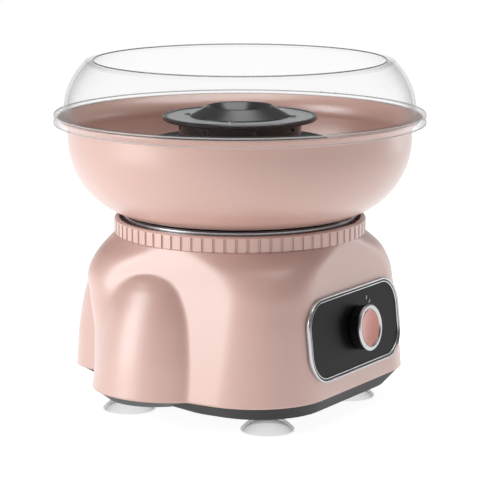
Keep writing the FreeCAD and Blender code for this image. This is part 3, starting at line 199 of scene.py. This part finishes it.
LOOKS = {
    "pink": ["collar_ring", "base_shell"], "bowl": ["bowl"], "cap": ["knob_cap"], "pan": ["bottom_pan"],
    "black": ["seat_ring", "heater_housing", "heater_dish"], "plate": ["panel_plate"], "satin": ["knob_body"],
    "chrome": ["seat_trim_ring", "knob_ring", "panel_bezel"],
    "steel": ["bottom_screws", "deck_screws", "panel_screws", "motor_screws", "bracket_screws",
              "heater_screws", "head_screws", "switch_nut", "switch_spindle", "hub_pin"],
    "zinc": ["motor_can", "motor_shaft", "motor_bracket"], "iron": ["armature_core"],
    "copper": ["armature_winding", "commutator"],
    "brass": ["switch_terminals", "drive_hub", "head_hub", "motor_bearings"],
    "ceramic": ["heater_standoffs"], "magnet": ["motor_magnets", "brushes"],
    "rubber": ["bracket_dampers", "cord_gland"], "aluminium": ["heat_shield"],
    "disc": ["head_disc"], "head": ["head_cup", "head_edge_ring", "head_dome"],
    "mesh": ["head_mesh", "heater_element"], "board": ["supply_board"],
    "plain": ["switch_body", "motor_end_cap", "cooling_fan", "thermal_cutout", "board_parts"],
    "block": ["terminal_block"], "red": ["control_leads"], "grey": ["mains_leads"], "guard": ["splash_guard"],
    "cup": ["foot_front_left", "foot_front_right", "foot_rear_left", "foot_rear_right"],
}
for look, names in LOOKS.items():
    for name in names:
        node = frame["nodes"][name]
        node.data.materials.clear()
        node.data.materials.append(mats[look])


# ---------------------------------------------------------------- mesh helpers
def ring_mesh(name, rows, close_rows=False, materials=(), bands=None, capped=False):
    """A smooth mesh from rows of points, each row a closed ring, with one material for each band."""
    count = len(rows[0])
    points = [tuple(point) for row in rows for point in row]
    faces, owners = [], []
    for r in range(len(rows) if close_rows else len(rows) - 1):
        below, above = r * count, ((r + 1) % len(rows)) * count
        for c in range(count):
            ahead = (c + 1) % count
            faces.append((below + c, below + ahead, above + ahead, above + c))
            owners.append(bands[r] if bands else 0)
    if capped:
        faces.append(tuple(reversed(range(count))))
        faces.append(tuple(range(len(points) - count, len(points))))
        owners += [0, 0]
    mesh = bpy.data.meshes.new(name)
    mesh.from_pydata(points, [], faces)
    for material in materials:
        mesh.materials.append(material)
    mesh.polygons.foreach_set("material_index", owners)
    mesh.polygons.foreach_set("use_smooth", [not capped] * len(faces))
    mesh.update()
    made = bpy.data.objects.new(name, mesh)
    scene.collection.objects.link(made)
    return made


def settle(obj):
    """Turns the modifiers of an object into its mesh."""
    graph = bpy.context.evaluated_depsgraph_get()
    mesh = bpy.data.meshes.new_from_object(obj.evaluated_get(graph))
    obj.modifiers.clear()
    obj.data = mesh


def cut(obj, cutters):
    """Takes closed shapes out of an object, then forgets them."""
    for cutter in cutters:
        change = obj.modifiers.new("cut", "BOOLEAN")
        change.object = cutter
        change.solver = "EXACT"
    settle(obj)
    for cutter in cutters:
        bpy.data.objects.remove(cutter)


def rounded(half_x, half_y, radius, steps=16):
    """Outline of a rectangle with round corners, anticlockwise."""
    spots = []
    for sx, sy, lead in ((1, 1, 0), (-1, 1, 90), (-1, -1, 180), (1, -1, 270)):
        for step in range(steps + 1):
            turn = math.radians(lead + 90.0 * step / steps)
            spots.append((sx * (half_x - radius) + radius * math.cos(turn),
                          sy * (half_y - radius) + radius * math.sin(turn)))
    return spots


def prism(name, outline, origin, across, up, out, low, high, materials=()):
    """A closed shape raised from an outline drawn on a plane."""
    rows = [[origin + across * x + up * y + out * level for x, y in outline] for level in (low, high)]
    return ring_mesh(name, rows, materials=materials, capped=True)


# ---------------------------------------------------------------- base shell skin
SHELL_LEVELS = np.array([
    # height, front, side and back reach, corner radius
    (26.0, 104.0, 112.0, 76.0, 58.0), (60.0, 101.0, 107.0, 84.0, 52.0), (90.0, 97.5, 102.0, 91.0, 47.0),
    (110.0, 95.3, 98.5, 95.0, 48.0), (122.0, 94.4, 96.8, 94.2, 61.0), (134.8, 93.8, 94.2, 93.8, 91.0),
])
TAIL_LEVELS = np.array([
    # height, back reach, half width and corner radius of the rear lobe
    (26.0, 128.0, 62.0, 38.0), (60.0, 125.5, 61.0, 38.0), (88.0, 119.5, 60.0, 38.0),
    (106.0, 112.0, 59.0, 38.0), (118.0, 100.0, 54.0, 36.0), (123.0, 90.0, 44.0, 32.0),
])
THUMB_LEVELS = np.array([
    # height and radius of the side lobes about their own upright axis
    (26.0, 60.0), (62.0, 54.6), (96.0, 44.3), (106.0, 38.6), (114.0, 31.0), (119.5, 20.0), (122.5, 6.0),
])
THUMB_X, THUMB_Y = 68.0, 18.0
TAIL_SOFT = 15.0  # fillet between the main form and the rear lobe
CREASE_SOFT, REAR_SOFT = 1.6, 14.0  # side lobe fillet at the front, and what is added towards the back
SKIN_TURNS = 480
WALL = 3.0
SHOULDER = 14.0  # height of the finely stepped band under the deck
DECK_SHARES = (0.996, 0.97, 0.9, 0.7, 0.45)  # steps inward over the flat deck


def between(levels, height):
    """The values at a height, eased between levels so that the slope runs on through them."""
    heights = levels[:, 0]
    height = min(max(height, heights[0]), heights[-1])
    slopes = np.gradient(levels[:, 1:], heights, axis=0)
    k = int(np.clip(np.searchsorted(heights, height) - 1, 0, len(heights) - 2))
    gap = heights[k + 1] - heights[k]
    t = (height - heights[k]) / gap
    first, second = levels[k, 1:], levels[k + 1, 1:]
    return ((2 * t**3 - 3 * t**2 + 1) * first + (t**3 - 2 * t**2 + t) * gap * slopes[k]
            + (3 * t**2 - 2 * t**3) * second + (t**3 - t**2) * gap * slopes[k + 1])


def reach_of_box(turn, side, front, back, corner):
    """How far a ray from the axis goes inside a rectangle with round corners."""
    dx, dy = abs(math.cos(turn)), math.sin(turn)
    deep = back if dy > 0 else front
    dy = abs(dy)
    best = min(side / max(dx, 1e-9), deep / max(dy, 1e-9))
    cx, cy = side - corner, deep - corner
    if best * dx > cx and best * dy > cy:
        along = cx * dx + cy * dy
        off = corner**2 - (cx * cx + cy * cy - along * along)
        if off > 0:
            return along + math.sqrt(off)
    return best


def reach_of_circle(turn, cx, cy, radius):
    """How far a ray from the axis goes inside a circle, or nothing where it misses."""
    along = cx * math.cos(turn) + cy * math.sin(turn)
    off = radius**2 - (cx * cx + cy * cy - along * along)
    return along + math.sqrt(off) if off > 0 and along > 0 else 0.0


def merged(first, second, soft):
    """The larger of two reaches, with the valley between them filled by a soft fillet."""
    share = max(soft - abs(first - second), 0.0)
    return max(first, second) + share * share / (4.0 * soft)


def shell_row(height):
    """The reach of the shell at each turn round the axis, at one height."""
    front, side, back, corner = between(SHELL_LEVELS, height)
    tail, half, tail_corner = between(TAIL_LEVELS, height)
    radius = float(between(THUMB_LEVELS, height)[0])
    row = []
    for turn in turns:
        reach = reach_of_box(turn, side, front, back, corner)
        if height < TAIL_LEVELS[-1, 0] and math.sin(turn) > 0:
            reach = merged(reach, reach_of_box(turn, half, 0.0, tail, tail_corner), TAIL_SOFT)
        if height < THUMB_LEVELS[-1, 0]:
            lobe = reach_of_circle(turn, math.copysign(THUMB_X, math.cos(turn)), THUMB_Y, radius)
            ease = min(max((math.sin(turn) - 0.3) * 2.5, 0.0), 1.0)
            reach = merged(reach, lobe, CREASE_SOFT + REAR_SOFT * ease)
        row.append(reach)
    return row


low, deck = SHELL_LEVELS[0, 0], SHELL_LEVELS[-1, 0]
turns = [2.0 * math.pi * index / SKIN_TURNS for index in range(SKIN_TURNS)]
levels = list(np.linspace(low, deck - SHOULDER, 62)) + list(np.linspace(deck - SHOULDER + 1.0, deck, 14))
rows = [(height, shell_row(height)) for height in levels]
rows += [(deck, [reach * share for reach in rows[-1][1]]) for share in DECK_SHARES]
skin_rows = []
for height, row in rows:
    skin_rows.append([(reach * math.cos(turn) * MM, reach * math.sin(turn) * MM, height * MM)
                      for reach, turn in zip(row, turns)])
shell = ring_mesh("shell_skin", skin_rows, materials=[mats["pink"]])
wall = shell.modifiers.new("wall", "SOLIDIFY")
wall.thickness = WALL * MM
wall.offset = -1.0
settle(shell)

# The leaning face that carries the panel, from the knob's own axis.
knob_joint = next(joint for joint in frame["joints"] if joint["name"] == "knob_turn")
face_out = Vector(knob_joint["axis"]).normalized()
face_across = Vector((1, 0, 0))
face_up = face_out.cross(face_across)
knob_centre = Vector(knob_joint["pos_m"])
bezel_low, bezel_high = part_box("panel_bezel")
panel_centre = Vector(((bezel_low.x + bezel_high.x) / 2, knob_centre.y, knob_centre.z))
PANEL_HALF, PANEL_TALL, PANEL_CORNER = (bezel_high.x - bezel_low.x) / 2, 31.2 * MM, 22.5 * MM
BEZEL_LAP = 1.2 * MM  # how far the bezel covers the edge of its opening
GLAND_HOLE_R = 0.0068
LOUVRE_STEP, LOUVRE_Z = 0.009, 0.072

right, up, back = Vector((-1, 0, 0)), Vector((0, 0, 1)), Vector((0, 1, 0))
opening = rounded(PANEL_HALF - BEZEL_LAP, PANEL_TALL - BEZEL_LAP, PANEL_CORNER - BEZEL_LAP)
cutters = [prism("cutter", opening, panel_centre, face_across, face_up, face_out, -0.03, 0.02)]
gland_low, gland_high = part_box("cord_gland")
gland_z = (gland_low.z + gland_high.z) / 2
circle = [(math.cos(turn) * GLAND_HOLE_R, math.sin(turn) * GLAND_HOLE_R) for turn in turns[::10]]
cutters.append(prism("cutter", circle, Vector((0, 0, gland_z)), right, up, back, 0.108, 0.14))
for index in range(-3, 4):
    slot = rounded(1.6 * MM, 12.0 * MM, 1.5 * MM, 5)
    middle = Vector((index * LOUVRE_STEP, 0, LOUVRE_Z))
    cutters.append(prism("cutter", slot, middle, right, up, back, 0.106, 0.14))
cut(shell, cutters)
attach(shell, "base")
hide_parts("base_shell")

# ---------------------------------------------------------------- stepped bezel
BEZEL_STEPS = [
    # inset from the outline, height above the face, and which finish the band above it has
    (0.0, -2.4, 0), (0.0, 1.6, 0), (0.25, 2.2, 0), (0.8, 2.6, 0), (1.3, 2.3, 0), (1.5, 1.7, 1),
    (2.5, 1.5, 1), (2.7, 1.9, 0), (3.1, 2.1, 0), (3.5, 1.7, 0), (3.6, 1.1, 0), (3.6, -2.4, 0),
]
bezel_rows = []
for inset, level, _ in BEZEL_STEPS:
    line = rounded(PANEL_HALF - inset * MM, PANEL_TALL - inset * MM, PANEL_CORNER - inset * MM)
    bezel_rows.append([panel_centre + face_across * x + face_up * y + face_out * (level * MM)
                       for x, y in line])
finishes = [finish for _, _, finish in BEZEL_STEPS]
bezel = ring_mesh("bezel_frame", bezel_rows, True, [mats["chrome"], mats["groove"]], finishes)
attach(bezel, "base")
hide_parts("panel_bezel")

# ---------------------------------------------------------------- beads on the edges of the clear guard; the pale flange and skirt beads are painted highlight lines
guard_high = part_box("splash_guard")[1]
LIP = 0.5 * MM
LIP_SIDES = 12
MOUTH_R, FLANGE_TOP, SKIRT_FOOT = 0.1107, 0.2250, 0.2188
# The pale flange and skirt beads are painted highlight lines along the guard's flange.
for name, middle, level, look in (("guard_lip", MOUTH_R, guard_high.z - LIP * 1.05, "edge"),
                                  ("guard_flange_highlight_line", guard_high.x - LIP * 1.02, FLANGE_TOP, "bead"),
                                  ("guard_skirt_highlight_line", guard_high.x - LIP * 1.02, SKIRT_FOOT, "bead")):
    lip_rows = []
    for step in range(LIP_SIDES):
        turn = 2.0 * math.pi * step / LIP_SIDES
        reach, height = middle + LIP * math.cos(turn), level + LIP * math.sin(turn)
        lip_rows.append([(reach * math.cos(way), reach * math.sin(way), height)
                         for way in reversed(turns[::2])])
    lip = ring_mesh(name, lip_rows, True, [mats[look]])
    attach(lip, "guard")

# ---------------------------------------------------------------- marks on the panel plate
PLATE_TOP, MARK_REACH = 1.2 * MM, 24.5 * MM
MARKS = [
    # angle round the knob, half length and half width: three ticks and a dot
    (56.0, 1.7, 0.45), (43.0, 1.7, 0.45), (30.0, 1.7, 0.45), (-16.0, 1.1, 1.1),
]
for index, (angle, half_long, half_wide) in enumerate(MARKS):
    turn = math.radians(angle)
    along = face_across * math.cos(turn) + face_up * math.sin(turn)
    outline = rounded(half_long * MM, half_wide * MM, half_wide * 0.95 * MM, 6)
    tick = prism("dial_mark_%d" % index, outline, knob_centre + along * MARK_REACH, along,
                 face_out.cross(along), face_out, PLATE_TOP - 0.3 * MM, PLATE_TOP + 0.12 * MM, [mats["mark"]])
    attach(tick, "base")


# ---------------------------------------------------------------- camera, light and floor
def aimed(obj, target):
    direction = Vector(target) - obj.location
    obj.rotation_euler = direction.to_track_quat("-Z", "Y").to_euler()


TURN, RISE, REACH = math.radians(-58.5), math.radians(10.46), 1.910
AIM = Vector((0, 0, 0.127))
AWAY = Vector((math.sin(TURN) * math.cos(RISE), -math.cos(TURN) * math.cos(RISE), math.sin(RISE)))
camera = bpy.data.objects.new("camera", bpy.data.cameras.new("camera"))
scene.collection.objects.link(camera)
camera.data.lens = 187.5
camera.data.sensor_width = 36
camera.location = AIM + REACH * AWAY
aimed(camera, AIM)
scene.camera = camera
scene.view_settings.view_transform = "Standard"

# White along the horizon, dim overhead.
world = bpy.data.worlds.new("studio")
world.use_nodes = True
tree = world.node_tree
height = tree.nodes.new("ShaderNodeSeparateXYZ")
fade = tree.nodes.new("ShaderNodeMapRange")
for key, value in (("From Min", 0.07), ("From Max", 0.16), ("To Min", 1.0), ("To Max", 0.12)):
    fade.inputs[key].default_value = value
tree.links.new(tree.nodes.new("ShaderNodeTexCoord").outputs["Generated"], height.inputs[0])
tree.links.new(height.outputs["Z"], fade.inputs["Value"])
tree.links.new(fade.outputs["Result"], tree.nodes["Background"].inputs["Color"])
scene.world = world


def soft_box(name, side, forward, height, width, tall, power):
    """A rectangular lamp placed beside, in front of and above the object as the camera sees it."""
    light = bpy.data.lights.new(name, "AREA")
    light.shape = "RECTANGLE"
    light.size, light.size_y = width, tall
    light.energy = power
    lamp = bpy.data.objects.new(name, light)
    scene.collection.objects.link(lamp)
    beside = Vector((math.cos(TURN), math.sin(TURN), 0))
    toward = Vector((math.sin(TURN), -math.cos(TURN), 0))
    lamp.location = AIM + beside * side + toward * forward + Vector((0, 0, height))
    aimed(lamp, AIM)


soft_box("key_left", -1.40, 0.55, 0.35, 0.8, 1.5, 22.0)
soft_box("top", 0.2, 0.0, 1.3, 1.2, 1.2, 18.0)
soft_box("plate_glint", 0.49, -0.23, 0.12, 0.15, 0.25, 0.25)

bpy.ops.mesh.primitive_plane_add(size=12.0)
floor = bpy.context.object
floor.name = "floor"
FLOOR_SHADE, FLOOR_GLOW = (0.35, 0.35, 0.35, 1.0), 0.93
floor.data.materials.append(surface("pale_floor", FLOOR_SHADE, 0.9, drift=0.005, grain=0.0, spread=0.02))
glow = floor.data.materials[0].node_tree.nodes["Principled BSDF"]
glow.inputs["Emission Color"].default_value = (1, 1, 1, 1)
glow.inputs["Emission Strength"].default_value = FLOOR_GLOW
